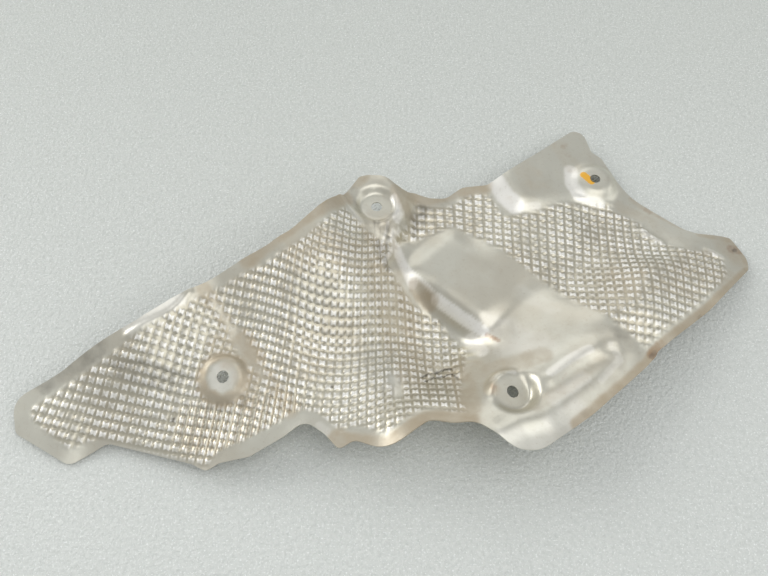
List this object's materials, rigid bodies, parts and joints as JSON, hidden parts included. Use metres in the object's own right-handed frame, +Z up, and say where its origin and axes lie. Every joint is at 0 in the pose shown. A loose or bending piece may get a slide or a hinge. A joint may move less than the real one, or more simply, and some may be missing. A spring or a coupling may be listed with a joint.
{
  "type": "steering gear heat shield",
  "caption": "Pressed metal sheet with a waffle emboss, plain rim and fixing holes; shields a steering gear from exhaust heat.",
  "frame": {"origin": "on the ground under the middle of the outer box, with the sheet lying as it comes to rest, embossed side up", "axes": "+X along the sheet towards its narrow right end, +Y across it towards the upper lobes, +Z up"},
  "size_m": [0.452, 0.245, 0.0558],
  "materials": {
    "shield_sheet": "satin, stained by heat and dirt"
  },
  "bodies": {
    "root": {"shield_sheet": "shield_sheet"}
  },
  "joints": []
}
